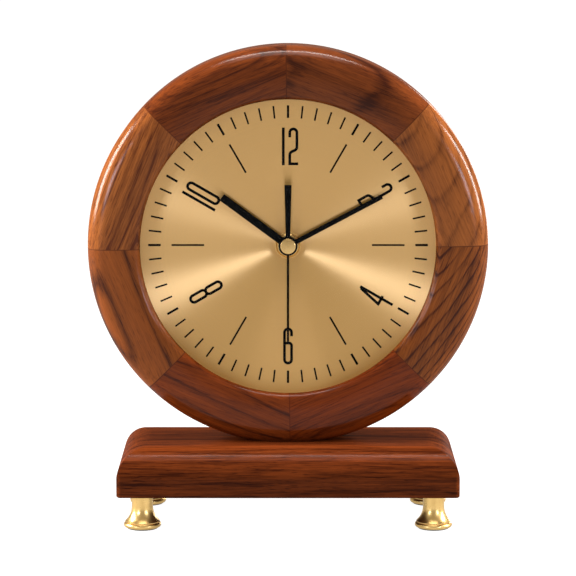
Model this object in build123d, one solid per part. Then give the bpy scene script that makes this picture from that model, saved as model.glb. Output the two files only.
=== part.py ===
from build123d import *
import math
import os

# Mantel clock: a segmented round wooden case on a wooden plinth with brass feet, a spun brass dial
# under glass and a battery quartz movement. Millimetres, +Z up, the dial faces -Y. The origin is on
# the resting surface, under the middle of the plinth.

# Driving dimensions
CASE_RADIUS = 100.0
CASE_FRONT = -17.0
CASE_BACK = 17.0
CASE_SINK = 1.8
LIP_RADIUS = 73.6
LIP_BACK = -12.0
SEGMENTS = 8
SEGMENT_LEAD = -0.6

PLINTH_WIDTH = 170.0
PLINTH_DEPTH = 78.0
PLINTH_HEIGHT = 23.5
PLINTH_ROUND = 15.0
PLINTH_CORNER = 2.5
PLINTH_EDGE = 1.2

FOOT_HEIGHT = 17.0
FOOT_X = 72.5
FOOT_Y = 28.5
FOOT_RADIUS = 9.3
FOOT_NECK = 5.3

MOVEMENT_SIZE = 56.0
MOVEMENT_FRONT = 1.2
MOVEMENT_BACK = 16.4

HOUR_CLOCK = 306.5
MINUTE_CLOCK = 62.0
SECOND_CLOCK = 180.0
HOUR_LENGTH = 41.0
MINUTE_LENGTH = 53.0
SECOND_LENGTH = 49.0
SECOND_TAIL = 30.7

RUNNING = 0.05
PLINTH_TOP = FOOT_HEIGHT + PLINTH_HEIGHT
DIAL_Z = PLINTH_TOP + CASE_RADIUS - CASE_SINK

# Depths of the case steps and of the stack between glass and movement
GLASS_FRONT = LIP_BACK
GLASS_BACK = -10.0
DIAL_FRONT = -3.6
DIAL_BACK = -2.6
BOARD_BACK = 0.4
COVER_FRONT = 14.0
DIAL_BORE = 78.0
CAVITY_RADIUS = 84.0
COVER_SEAT = 90.0
FIT_GAP = 0.3

# Gear teeth: pressure angle and tooth heights in modules
PRESSURE = math.radians(25)
WHEEL_TIP, WHEEL_ROOT = 0.75, 1.15
PINION_TIP, PINION_ROOT = 0.7, 1.1
TOOTH_SHARE = 0.42
FLANK_STEPS = 2

# Tooth counts, wheel first, and the module of each mesh
FIFTH_TEETH, ROTOR_TEETH, ROTOR_MODULE = 48, 8, 0.28
SECONDS_TEETH, FIFTH_LEAVES, FIFTH_MODULE = 40, 8, 0.4
THIRD_TEETH, SECONDS_LEAVES, THIRD_MODULE = 60, 8, 0.27
CENTRE_TEETH, THIRD_LEAVES, CENTRE_MODULE = 64, 8, 0.255
MINUTE_TEETH, CANNON_TEETH, MINUTE_MODULE = 48, 16, 0.25
HOUR_TEETH, MINUTE_LEAVES, HOUR_MODULE = 40, 10, 0.32

# Front and back depth of each wheel and of the pinion on the same arbor
ROTOR_LEAF_LAYER, MAGNET_LAYER = (10.9, 12.3), (6.0, 8.4)
FIFTH_LAYER, FIFTH_LEAF_LAYER = (11.2, 12.0), (9.0, 11.2)
SECONDS_LAYER, SECONDS_LEAF_LAYER = (9.4, 10.2), (7.1, 9.4)
THIRD_LAYER, THIRD_LEAF_LAYER = (7.4, 8.2), (5.4, 7.4)
CENTRE_LAYER, CANNON_LAYER = (5.6, 6.4), (3.6, 4.6)
MINUTE_LAYER, MINUTE_LEAF_LAYER = (3.7, 4.5), (2.6, 3.7)
HOUR_LAYER, SHOULDER_LAYER = (2.65, 3.4), (6.45, 6.8)


def centre_distance(wheel_teeth, pinion_teeth, module):
    return module * (wheel_teeth + pinion_teeth) / 2


def stepped_from(start, distance, degrees_up):
    """Point at a distance from start, in the direction degrees above the x axis seen from the front."""
    turn = math.radians(degrees_up)
    return (start[0] + distance * math.cos(turn), start[1] + distance * math.sin(turn))


# Gear axes as (x, up) from the middle of the dial, and the direction each mesh lies in
THIRD_WAY, FIFTH_WAY, ROTOR_WAY, MINUTE_WAY, KNOB_WAY = 160.0, 75.0, 20.0, -20.0, 20.0
CENTRE = (0.0, 0.0)
THIRD = stepped_from(CENTRE, centre_distance(THIRD_TEETH, SECONDS_LEAVES, THIRD_MODULE), THIRD_WAY)
FIFTH = stepped_from(CENTRE, centre_distance(SECONDS_TEETH, FIFTH_LEAVES, FIFTH_MODULE), FIFTH_WAY)
ROTOR = stepped_from(FIFTH, centre_distance(FIFTH_TEETH, ROTOR_TEETH, ROTOR_MODULE), ROTOR_WAY)
MINUTE = stepped_from(CENTRE, centre_distance(MINUTE_TEETH, CANNON_TEETH, MINUTE_MODULE), MINUTE_WAY)
KNOB = stepped_from(MINUTE, centre_distance(MINUTE_TEETH, CANNON_TEETH, MINUTE_MODULE), KNOB_WAY)

# Movement case: walls, and the battery bay along its bottom
WALL = 1.2
HALF = MOVEMENT_SIZE / 2
INNER = HALF - WALL
PLATE_BACK = MOVEMENT_FRONT + WALL
COVER_PLATE_FRONT = 14.8
BAY_FLOOR = 1.8
BAY_TOP = -11.8
CHAMBER_BOTTOM = -10.8
CORNER = 3.0
MIDDLE_FRONT, MIDDLE_BACK = 4.75, 5.25

# Radii of the nested tubes through the dial, outermost first
BUSHING_RADIUS = 3.95
PIPE_RADIUS = 2.6
ARBOR_RADIUS = 1.6
SECONDS_RADIUS = 0.6
PIVOT_RADIUS = 0.4
SHAFT_RADIUS = 0.5
PIVOT_FRONT, PIVOT_BACK = 1.75, 15.5
PIVOT_HOLE_FRONT, PIVOT_HOLE_BACK = 1.6, 15.7
STUD_RADIUS = 0.8
MAGNET_RADIUS = 2.8
SHOULDER_RADIUS = 2.4


def front_plane(y):
    """Plane across the dial's axis at depth y, drawn as seen from the front."""
    return Plane(origin=(0, y, DIAL_Z), x_dir=(1, 0, 0), z_dir=(0, -1, 0))


def slab(sketch, y_front, y_back):
    """Sketch around the middle of the dial, made solid between two depths."""
    return extrude(front_plane(y_back) * sketch, amount=y_back - y_front)


def disc(radius, y_front, y_back, at=CENTRE, bore=0.0):
    outline = Circle(radius) - Circle(bore) if bore else Circle(radius)
    return slab(Pos(*at) * outline, y_front, y_back)


def block(x_low, x_high, up_low, up_high, y_front, y_back):
    """Box in dial coordinates."""
    middle = Pos((x_low + x_high) / 2, (up_low + up_high) / 2)
    return slab(middle * Rectangle(x_high - x_low, up_high - up_low), y_front, y_back)


def turned(points, axis_up=DIAL_Z):
    """Solid of revolution about the dial's axis from (radius, y) points."""
    return Pos(0, 0, axis_up) * revolve(Polygon(*points, align=None), Axis.Y)


def clocked(shape, degrees_clockwise):
    """Turns a shape clockwise about the dial's axis, seen from the front."""
    return Pos(0, 0, DIAL_Z) * Rot(0, degrees_clockwise, 0) * Pos(0, 0, -DIAL_Z) * shape


def nearest(vertices, x, y):
    return vertices.sort_by_distance((x, y, 0))[0]


def cross(head_radius, depth):
    """Two crossed slots, centred on the origin, that cut a screw head's recess."""
    slot = Box(head_radius * 1.1, head_radius * 0.28, depth)
    return slot + Rot(0, 0, 90) * slot


def screw(head_radius, head_height, shank_radius, shank_length):
    """Pan-head cross-recess screw along +Z, with the underside of its head at the origin."""
    head = Pos(0, 0, -head_height / 2) * Cylinder(head_radius, head_height)
    head = fillet(head.edges().group_by(Axis.Z)[0], head_height * 0.45)
    recess = Pos(0, 0, -head_height) * cross(head_radius, head_height)
    shank = Pos(0, 0, shank_length / 2) * Cylinder(shank_radius, shank_length)
    return head - recess + shank


def cone_blank(head_radius, shank_radius, shank_length):
    """Countersunk screw along +Z without its recess, with its flat top at the origin."""
    cone = Polygon((0, 0), (head_radius, 0), (shank_radius, head_radius - shank_radius),
                   (shank_radius, shank_length), (0, shank_length), align=None)
    return revolve(Plane.XZ * cone, Axis.Z)


# Case and plinth

def case_profile():
    """Section of the ring: lip, crowned front, rounded rim, and the steps for dial, board and cover."""
    crown_radius, lip_round, rim_round, back_round = 40.0, 3.2, 9.5, 3.0
    crown = (CAVITY_RADIUS, CASE_FRONT - 0.45)
    lip = (LIP_RADIUS, CASE_FRONT + 1.1)
    rim = (CASE_RADIUS, CASE_FRONT + 2.1)
    heel = (CASE_RADIUS, CASE_BACK)
    outline = Polygon(
        (LIP_RADIUS, LIP_BACK), lip, crown, rim, heel,
        (COVER_SEAT, CASE_BACK), (COVER_SEAT, COVER_FRONT), (CAVITY_RADIUS, COVER_FRONT),
        (CAVITY_RADIUS, DIAL_BACK), (DIAL_BORE, DIAL_BACK), (DIAL_BORE, LIP_BACK), align=None)
    for corner, radius in ((crown, crown_radius), (lip, lip_round), (rim, rim_round), (heel, back_round)):
        outline = fillet(nearest(outline.vertices(), *corner), radius)
    return outline


def ring_segment(index):
    """One glued segment; the two lowest are planed flat where they sit on the plinth."""
    step = 360 / SEGMENTS
    wedge = Pos(0, 0, DIAL_Z) * revolve(case_profile(), Axis.Y, revolution_arc=step)
    wedge = clocked(wedge, index * step + SEGMENT_LEAD - 90)
    below = Pos(0, 0, PLINTH_TOP - CASE_RADIUS / 2) * Box(4 * CASE_RADIUS, CASE_RADIUS, CASE_RADIUS)
    return wedge - below


def rounded_top(width):
    """Upright section of the plinth with both top corners rounded."""
    outline = Pos(0, FOOT_HEIGHT + PLINTH_HEIGHT / 2) * Rectangle(width, PLINTH_HEIGHT)
    return fillet(outline.vertices().group_by(Axis.Y)[-1], PLINTH_ROUND)


RING_SCREW_X, RING_SCREW_Y = 12.0, 4.0
RING_SCREW_SEAT = 25.0
RING_SCREW_END = 51.5
RING_SCREW_RADIUS = 2.0
RING_SCREW_HEAD, RING_SCREW_HEAD_HEIGHT = 3.9, 2.6
INSERT_RADIUS, INSERT_LENGTH = 2.9, 9.0
STUD_THREAD = 2.0
STUD_LOW, STUD_HIGH = 9.0, 27.0


def foot_places():
    return [(side * FOOT_X, end * FOOT_Y) for end in (-1, 1) for side in (-1, 1)]


def plinth():
    front = extrude(Plane.XZ * rounded_top(PLINTH_WIDTH), PLINTH_DEPTH / 2, both=True)
    side = extrude(Plane.YZ * rounded_top(PLINTH_DEPTH), PLINTH_WIDTH / 2, both=True)
    plan = RectangleRounded(PLINTH_WIDTH, PLINTH_DEPTH, PLINTH_CORNER)
    body = front & side & Pos(0, 0, FOOT_HEIGHT) * extrude(plan, PLINTH_HEIGHT)
    body = chamfer(body.edges().group_by(Axis.Z)[0], PLINTH_EDGE / 2)
    head_room = RING_SCREW_SEAT - FOOT_HEIGHT
    for x in (-RING_SCREW_X, RING_SCREW_X):
        low = Pos(x, RING_SCREW_Y, FOOT_HEIGHT)
        body -= low * Pos(0, 0, head_room / 2) * Cylinder(RING_SCREW_HEAD + 0.6, head_room)
        body -= low * Pos(0, 0, PLINTH_HEIGHT / 2) * Cylinder(RING_SCREW_RADIUS + 0.2, PLINTH_HEIGHT)
    for x, y in foot_places():
        low = Pos(x, y, FOOT_HEIGHT)
        body -= low * Pos(0, 0, INSERT_LENGTH / 2) * Cylinder(INSERT_RADIUS, INSERT_LENGTH)
        stud_hole = STUD_HIGH + 0.5 - FOOT_HEIGHT
        body -= low * Pos(0, 0, stud_hole / 2) * Cylinder(STUD_THREAD, stud_hole)
    return body


def ring_screw(x):
    length = RING_SCREW_END - RING_SCREW_SEAT
    one = screw(RING_SCREW_HEAD, RING_SCREW_HEAD_HEIGHT, RING_SCREW_RADIUS, length)
    return Pos(x, RING_SCREW_Y, RING_SCREW_SEAT) * one


PAD_RADIUS, PAD_THICKNESS, FOOT_LIFT = 8.0, 1.6, 0.6


def foot():
    """Turned brass foot: a straight neck that flares like a trumpet, a groove, a rounded rim and a sole."""
    flare_start, flare_middle, flare_edge = (FOOT_NECK, 11.0), (6.05, 7.2), (8.6, 3.6)
    groove_radius, groove_top, groove_low = 8.35, 3.4, 3.15
    rim_middle, rim_foot = (FOOT_RADIUS, 1.95), (8.5, FOOT_LIFT)
    outline = [
        Polyline((0, STUD_LOW), (STUD_THREAD, STUD_LOW), (STUD_THREAD, FOOT_HEIGHT),
                 (FOOT_NECK, FOOT_HEIGHT), flare_start),
        ThreePointArc(flare_start, flare_middle, flare_edge),
        Polyline(flare_edge, (flare_edge[0], groove_top), (groove_radius, groove_top),
                 (groove_radius, groove_low)),
        ThreePointArc((groove_radius, groove_low), rim_middle, rim_foot),
        Polyline(rim_foot, (PAD_RADIUS, FOOT_LIFT), (PAD_RADIUS, PAD_THICKNESS),
                 (0, PAD_THICKNESS), (0, STUD_LOW)),
    ]
    return revolve(Plane.XZ * make_face(outline), Axis.Z)


def foot_pad():
    pad = Pos(0, 0, PAD_THICKNESS / 2) * Cylinder(PAD_RADIUS, PAD_THICKNESS)
    return chamfer(pad.edges().group_by(Axis.Z)[0], 0.3)


def foot_stud():
    return Pos(0, 0, (STUD_LOW + STUD_HIGH) / 2) * Cylinder(STUD_THREAD, STUD_HIGH - STUD_LOW)


def foot_insert():
    sleeve = Cylinder(INSERT_RADIUS, INSERT_LENGTH) - Cylinder(STUD_THREAD, INSERT_LENGTH)
    return Pos(0, 0, FOOT_HEIGHT + INSERT_LENGTH / 2) * sleeve


# Glass, dial, board and rear cover

BOARD_SCREWS, BOARD_SCREW_RADIUS, BOARD_SCREW_CIRCLE = 6, 1.25, 81.0
COVER_SCREWS, COVER_SCREW_RADIUS, COVER_SCREW_CIRCLE = 4, 1.4, 87.0
COVER_SCREW_HEAD = 2.6
COVER_WINDOW = 58.0


def around(count, radius, first):
    """Places on a circle about the dial's axis, as (x, up)."""
    return [stepped_from(CENTRE, radius, first + index * 360 / count) for index in range(count)]


def facing_back(shape, place, y):
    """Puts a fastener that is drawn along +Z so that it points forward from depth y."""
    return Pos(place[0], y, DIAL_Z + place[1]) * Rot(90, 0, 0) * shape


def board_screws():
    one = screw(2.4, 1.5, BOARD_SCREW_RADIUS, 10.0)
    return [facing_back(one, at, BOARD_BACK) for at in around(BOARD_SCREWS, BOARD_SCREW_CIRCLE, 10)]


def cover_screw_blanks():
    one = cone_blank(COVER_SCREW_HEAD, COVER_SCREW_RADIUS, 11.0)
    return [facing_back(one, at, CASE_BACK) for at in around(COVER_SCREWS, COVER_SCREW_CIRCLE, 40)]


def cover_screws():
    recess_depth = 2.0
    one = cone_blank(COVER_SCREW_HEAD, COVER_SCREW_RADIUS, 11.0) - cross(COVER_SCREW_HEAD, recess_depth)
    return [facing_back(one, at, CASE_BACK) for at in around(COVER_SCREWS, COVER_SCREW_CIRCLE, 40)]


def dial_plate():
    return disc(DIAL_BORE - FIT_GAP, DIAL_FRONT, DIAL_BACK, bore=BUSHING_RADIUS + 0.15)


def backing_board():
    board = disc(CAVITY_RADIUS - FIT_GAP, DIAL_BACK, BOARD_BACK, bore=BUSHING_RADIUS + 0.3)
    for fastener in board_screws():
        board -= fastener
    return board


def rear_cover():
    outline = Circle(COVER_SEAT - FIT_GAP) - RectangleRounded(COVER_WINDOW, COVER_WINDOW, CORNER)
    cover = slab(outline, COVER_FRONT, CASE_BACK)
    for fastener in cover_screw_blanks():
        cover -= fastener
    return cover


def glass():
    pane = disc(DIAL_BORE - FIT_GAP, GLASS_FRONT, GLASS_BACK)
    return chamfer(pane.edges(), 0.3)


# Gears

def involute(angle):
    return math.tan(angle) - angle


def gear(teeth, module, tip, root, degrees_up):
    """Gear outline about its own axis, with a tooth in the given direction."""
    pitch = module * teeth / 2
    base = pitch * math.cos(PRESSURE)
    tip_radius = pitch + tip * module
    root_radius = pitch - root * module
    low = max(base, root_radius)
    flank = []
    for step in range(FLANK_STEPS + 1):
        radius = low + (tip_radius - low) * step / FLANK_STEPS
        spread = math.pi * TOOTH_SHARE / teeth + involute(PRESSURE) - involute(math.acos(base / radius))
        flank.append((radius, spread))
    if root_radius < base:
        flank.insert(0, (root_radius, flank[0][1]))
    points = []
    for tooth in range(teeth):
        middle = math.radians(degrees_up) + 2 * math.pi * tooth / teeth
        rising = [(radius, middle - spread) for radius, spread in flank]
        falling = [(radius, middle + spread) for radius, spread in reversed(flank)]
        points += [(radius * math.cos(turn), radius * math.sin(turn)) for radius, turn in rising + falling]
    return Polygon(*points, align=None)


def wheel(teeth, module, degrees_up, at, y_front, y_back):
    outline = gear(teeth, module, WHEEL_TIP, WHEEL_ROOT, degrees_up)
    return slab(Pos(*at) * outline, y_front, y_back)


def pinion(teeth, module, degrees_up, at, y_front, y_back):
    outline = gear(teeth, module, PINION_TIP, PINION_ROOT, degrees_up)
    return slab(Pos(*at) * outline, y_front, y_back)


def facing_gap(way, wheel_tooth, wheel_teeth, pinion_teeth):
    """Tooth direction of a pinion whose gap meets the wheel's tooth, both in degrees above x.

    way is the direction from the wheel's axis to the pinion's."""
    return way + 180 - (wheel_tooth - way) * wheel_teeth / pinion_teeth + 180 / pinion_teeth


def staff(at):
    """Arbor between the movement's front plate and back plate, with a finer pivot at each end."""
    shaft = disc(SHAFT_RADIUS, PLATE_BACK + 0.1, COVER_PLATE_FRONT - 0.1, at)
    return shaft + disc(PIVOT_RADIUS, PIVOT_FRONT, PIVOT_BACK, at)


def rotor_magnet():
    return disc(MAGNET_RADIUS, *MAGNET_LAYER, ROTOR, bore=SHAFT_RADIUS)


def rotor_pinion():
    tooth = facing_gap(ROTOR_WAY, ROTOR_WAY, FIFTH_TEETH, ROTOR_TEETH)
    return staff(ROTOR) + pinion(ROTOR_TEETH, ROTOR_MODULE, tooth, ROTOR, *ROTOR_LEAF_LAYER)


def fifth_wheel():
    body = staff(FIFTH) + wheel(FIFTH_TEETH, ROTOR_MODULE, ROTOR_WAY, FIFTH, *FIFTH_LAYER)
    tooth = facing_gap(FIFTH_WAY, FIFTH_WAY, SECONDS_TEETH, FIFTH_LEAVES)
    return body + pinion(FIFTH_LEAVES, FIFTH_MODULE, tooth, FIFTH, *FIFTH_LEAF_LAYER)


def seconds_wheel():
    body = wheel(SECONDS_TEETH, FIFTH_MODULE, FIFTH_WAY, CENTRE, *SECONDS_LAYER)
    from_third = THIRD_WAY + 180
    tooth = facing_gap(from_third, from_third, THIRD_TEETH, SECONDS_LEAVES)
    body += pinion(SECONDS_LEAVES, THIRD_MODULE, tooth, CENTRE, *SECONDS_LEAF_LAYER)
    return body - disc(SECONDS_RADIUS, SECONDS_LEAF_LAYER[0], SECONDS_LAYER[1])


def seconds_arbor():
    shaft = disc(SECONDS_RADIUS, SECOND_FRONT, COVER_PLATE_FRONT - 0.1)
    return shaft + disc(PIVOT_RADIUS, COVER_PLATE_FRONT - 0.2, PIVOT_BACK)


def third_wheel():
    body = staff(THIRD) + wheel(THIRD_TEETH, THIRD_MODULE, THIRD_WAY + 180, THIRD, *THIRD_LAYER)
    tooth = facing_gap(THIRD_WAY, THIRD_WAY, CENTRE_TEETH, THIRD_LEAVES)
    return body + pinion(THIRD_LEAVES, CENTRE_MODULE, tooth, THIRD, *THIRD_LEAF_LAYER)


def centre_wheel():
    body = wheel(CENTRE_TEETH, CENTRE_MODULE, THIRD_WAY, CENTRE, *CENTRE_LAYER)
    return body - disc(ARBOR_RADIUS + RUNNING, *CENTRE_LAYER)


def clutch_spring():
    """Dished washer, held by the minute arbor, that presses on the centre wheel."""
    return turned([(ARBOR_RADIUS, 5.3), (3.2, 5.42), (3.2, 5.55), (ARBOR_RADIUS, 5.43)])


def minute_arbor():
    """Tube that carries the minute hand, with the cannon pinion and a rear shoulder."""
    from_minute = MINUTE_WAY + 180
    tooth = facing_gap(from_minute, from_minute, MINUTE_TEETH, CANNON_TEETH)
    rear = SHOULDER_LAYER[1]
    body = disc(ARBOR_RADIUS, MINUTE_TUBE_FRONT, rear)
    body += pinion(CANNON_TEETH, MINUTE_MODULE, tooth, CENTRE, *CANNON_LAYER)
    body += disc(SHOULDER_RADIUS, *SHOULDER_LAYER)
    return body - disc(SECONDS_RADIUS + RUNNING, MINUTE_TUBE_FRONT, rear)


def minute_wheel():
    body = wheel(MINUTE_TEETH, MINUTE_MODULE, MINUTE_WAY + 180, MINUTE, *MINUTE_LAYER)
    tooth = facing_gap(MINUTE_WAY, MINUTE_WAY, HOUR_TEETH, MINUTE_LEAVES)
    body += pinion(MINUTE_LEAVES, HOUR_MODULE, tooth, MINUTE, *MINUTE_LEAF_LAYER)
    return body - disc(STUD_RADIUS + RUNNING, MINUTE_LEAF_LAYER[0], MINUTE_LAYER[1], MINUTE)


def hour_wheel():
    body = wheel(HOUR_TEETH, HOUR_MODULE, MINUTE_WAY, CENTRE, *HOUR_LAYER)
    body += disc(PIPE_RADIUS, HOUR_PIPE_FRONT, HOUR_LAYER[1])
    return body - disc(ARBOR_RADIUS + RUNNING, HOUR_PIPE_FRONT, HOUR_LAYER[1])


KNOB_RADIUS, KNOB_FRONT, KNOB_BACK = 5.0, 14.4, 16.8
KNOB_POCKET, KNOB_FLOOR = 5.6, 13.2
KNOB_SHAFT = 1.2
KNOB_GRIPS = 18


def setting_knob():
    """Fluted knob on a shaft whose pinion turns the minute wheel."""
    tooth = facing_gap(KNOB_WAY, MINUTE_WAY + 180, MINUTE_TEETH, CANNON_TEETH)
    body = disc(KNOB_RADIUS, KNOB_FRONT, KNOB_BACK, KNOB)
    for index in range(KNOB_GRIPS):
        flute = stepped_from(KNOB, KNOB_RADIUS + 0.25, index * 360 / KNOB_GRIPS)
        body -= disc(0.5, KNOB_FRONT - 0.5, KNOB_BACK + 0.5, flute)
    body += disc(KNOB_SHAFT, PLATE_BACK + 0.1, KNOB_FRONT, KNOB)
    body += disc(PIVOT_RADIUS, PIVOT_FRONT, PLATE_BACK + 0.1, KNOB)
    return body + pinion(CANNON_TEETH, MINUTE_MODULE, tooth, KNOB, *CANNON_LAYER)


# Movement body, motor and battery

POST_RADIUS, POST_SCREW_RADIUS = 1.8, 0.9
POSTS = [(-24.6, -8.6), (24.6, -8.6), (-24.6, 24.6), (24.6, 24.6)]
MIDDLE_POSTS = [(-12.0, -8.0), (17.0, -8.0), (-12.0, 11.0), (17.0, 8.6)]
MIDDLE_POST_RADIUS = 1.2
STATOR_FRONT, STATOR_BACK, CORE_BACK = 6.8, 7.6, 8.4
STATOR_X = (0.8, 21.2)
STATOR_POSTS = [(2.05, 17.5), (19.95, 17.5)]
COIL_X, COIL_UP = (3.5, 18.5), 22.6
BOARD_X, BOARD_UP, BOARD_Y = (-22.0, -2.5), (14.0, 25.0), (4.6, 5.4)
BOARD_POSTS = [(-19.0, 16.5), (-5.5, 22.5)]
BATTERY_RADIUS, BATTERY_LENGTH, BATTERY_NUB = 7.25, 49.5, 1.0
BATTERY_Y = MOVEMENT_BACK - BATTERY_RADIUS
BATTERY_UP = (BAY_TOP - INNER) / 2
BATTERY_X = (-24.0, 26.45)
CONTACT = 0.3
NUT_BACK, NUT_FRONT, NUT_RADIUS, NUT_CHAMFER = -4.0, -6.0, 6.1, 0.8
WASHER_RADIUS = 6.5
RUBBER_RADIUS = 13.0


def square(size):
    return RectangleRounded(size, size, CORNER)


def movement_case():
    """Front shell: threaded bushing, gear chamber, battery bay, posts, stud and pivot holes."""
    body = slab(square(MOVEMENT_SIZE), MOVEMENT_FRONT, MOVEMENT_BACK)
    body -= block(-INNER, INNER, CHAMBER_BOTTOM, INNER, PLATE_BACK, MOVEMENT_BACK + 1)
    body -= block(-INNER, INNER, -INNER, BAY_TOP, BAY_FLOOR, MOVEMENT_BACK + 1)
    body += disc(BUSHING_RADIUS, NUT_FRONT - 0.3, MOVEMENT_FRONT)
    for post in POSTS:
        body += disc(POST_RADIUS, PLATE_BACK, COVER_PLATE_FRONT, post)
        body -= disc(POST_SCREW_RADIUS, 8.0, COVER_PLATE_FRONT, post)
    for post in MIDDLE_POSTS:
        body += disc(MIDDLE_POST_RADIUS, PLATE_BACK, MIDDLE_FRONT, post)
    for post in STATOR_POSTS:
        body += disc(MIDDLE_POST_RADIUS, PLATE_BACK, STATOR_FRONT, post)
    for post in BOARD_POSTS:
        body += disc(MIDDLE_POST_RADIUS, PLATE_BACK, BOARD_Y[0], post)
    body += disc(STUD_RADIUS, PLATE_BACK, 4.7, MINUTE)
    body -= disc(PIPE_RADIUS + RUNNING, NUT_FRONT - 1, PLATE_BACK + 0.1)
    for pivot in (THIRD, FIFTH, ROTOR, KNOB):
        body -= disc(PIVOT_RADIUS + RUNNING, PIVOT_HOLE_FRONT, PLATE_BACK + 0.1, pivot)
    return body


def middle_plate():
    """Plate that keeps the motion work apart from the going train."""
    body = block(-14.0, 19.0, -10.2, 12.6, MIDDLE_FRONT, MIDDLE_BACK)
    body -= disc(ARBOR_RADIUS + RUNNING, MIDDLE_FRONT - 1, MIDDLE_BACK + 1)
    for shaft in (THIRD, FIFTH):
        body -= disc(SHAFT_RADIUS + FIT_GAP, MIDDLE_FRONT - 1, MIDDLE_BACK + 1, shaft)
    body -= disc(SHAFT_RADIUS + FIT_GAP, MIDDLE_FRONT - 1, MIDDLE_BACK + 1, ROTOR)
    return body - disc(KNOB_SHAFT + FIT_GAP, MIDDLE_FRONT - 1, MIDDLE_BACK + 1, KNOB)


def back_plate():
    """Rear cover of the gear chamber, with the knob's pocket and the rear pivot holes."""
    body = block(-INNER + 0.1, INNER - 0.1, CHAMBER_BOTTOM + 0.1, INNER - 0.1,
                 COVER_PLATE_FRONT, MOVEMENT_BACK)
    body += disc(KNOB_POCKET + 1.0, KNOB_FLOOR, COVER_PLATE_FRONT, KNOB)
    body -= disc(KNOB_POCKET, KNOB_FLOOR + 1.0, MOVEMENT_BACK + 1, KNOB)
    body -= disc(KNOB_SHAFT + RUNNING, KNOB_FLOOR - 1, MOVEMENT_BACK, KNOB)
    for pivot in (CENTRE, THIRD, FIFTH, ROTOR):
        body -= disc(PIVOT_RADIUS + RUNNING, COVER_PLATE_FRONT - 1, PIVOT_HOLE_BACK, pivot)
    for post in POSTS:
        body -= disc(POST_SCREW_RADIUS, COVER_PLATE_FRONT - 1, MOVEMENT_BACK + 1, post)
        body -= disc(POST_RADIUS, 15.5, MOVEMENT_BACK + 1, post)
    return body


def movement_screws():
    one = screw(1.5, 0.8, POST_SCREW_RADIUS, 7.4)
    return [facing_back(one, post, 15.5) for post in POSTS]


def stator():
    """Two-legged iron stator around the rotor, with the coil's core lying on its leg ends."""
    left, right = STATOR_X
    leg = 2.5
    bar_low, bar_high = 11.2, 14.7
    plate = block(left, right, bar_low, bar_high, STATOR_FRONT, STATOR_BACK)
    plate += block(left, left + leg, bar_low, COIL_UP + 1, STATOR_FRONT, STATOR_BACK)
    plate += block(right - leg, right, bar_low, COIL_UP + 1, STATOR_FRONT, STATOR_BACK)
    plate += disc(5.2, STATOR_FRONT, STATOR_BACK, ROTOR)
    plate -= disc(3.2, STATOR_FRONT - 1, STATOR_BACK + 1, ROTOR)
    core = block(left, right, COIL_UP - 1, COIL_UP + 1, STATOR_BACK, CORE_BACK)
    return [plate, core]


def along_x(radius, x_low, x_high, y, up, bore=0.0):
    """Round bar or tube lying along X, in dial coordinates."""
    ring = Circle(radius) - Circle(bore) if bore else Circle(radius)
    return Pos(x_low, y, DIAL_Z + up) * extrude(Plane.YZ * ring, x_high - x_low)


COIL_CORE_Y = (STATOR_BACK + CORE_BACK) / 2
SPOOL_RADIUS, FLANGE_RADIUS, WINDING_RADIUS, FLANGE = 1.9, 3.9, 3.5, 0.8


def coil_spool():
    low, high = COIL_X
    body = along_x(SPOOL_RADIUS, low, high, COIL_CORE_Y, COIL_UP)
    body += along_x(FLANGE_RADIUS, low, low + FLANGE, COIL_CORE_Y, COIL_UP)
    body += along_x(FLANGE_RADIUS, high - FLANGE, high, COIL_CORE_Y, COIL_UP)
    return body - block(low - 1, high + 1, COIL_UP - 1, COIL_UP + 1, STATOR_BACK, CORE_BACK)


def coil_winding():
    low, high = COIL_X
    return along_x(WINDING_RADIUS, low + FLANGE, high - FLANGE, COIL_CORE_Y, COIL_UP, bore=SPOOL_RADIUS)


def circuit_board():
    board = block(*BOARD_X, *BOARD_UP, *BOARD_Y)
    blob = Pos(-9.0, BOARD_Y[1], DIAL_Z + 18.5) * scale(Sphere(2.4), (1, 0.45, 1))
    return board + blob


def quartz_crystal():
    return along_x(1.0, -21.0, -14.8, BOARD_Y[1] + 1.0, 22.0)


def battery():
    """AA cell: can, shoulder and positive nub, lying along X."""
    low, high = BATTERY_X
    can = along_x(BATTERY_RADIUS, low, high - BATTERY_NUB, BATTERY_Y, BATTERY_UP)
    can = fillet(can.edges(), 0.6)
    return can + along_x(2.75, high - BATTERY_NUB - 0.1, high, BATTERY_Y, BATTERY_UP)


def positive_contact():
    return block(INNER - CONTACT, INNER, BATTERY_UP - 5, BATTERY_UP + 5, 4.0, 14.0)


def negative_contact():
    """Bent leaf spring: a strip on the wall and a tongue that leans towards the cell."""
    tip = BATTERY_X[0] - 0.1
    strip = Polygon((-INNER, 3.0), (-INNER + CONTACT, 3.0), (tip, 8.6), (tip, 9.0), (tip - CONTACT, 9.0),
                    (-INNER + CONTACT, 3.6), (-INNER + CONTACT, 14.0), (-INNER, 14.0), align=None)
    return Pos(0, 0, DIAL_Z + BATTERY_UP - 3) * extrude(Plane.XY * strip, 6.0)


def nut():
    ring = disc(NUT_RADIUS, NUT_FRONT, NUT_BACK, bore=BUSHING_RADIUS)
    return chamfer(ring.edges().group_by(Axis.Y)[0].sort_by(SortBy.LENGTH)[-1], NUT_CHAMFER)


# Hands

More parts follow.
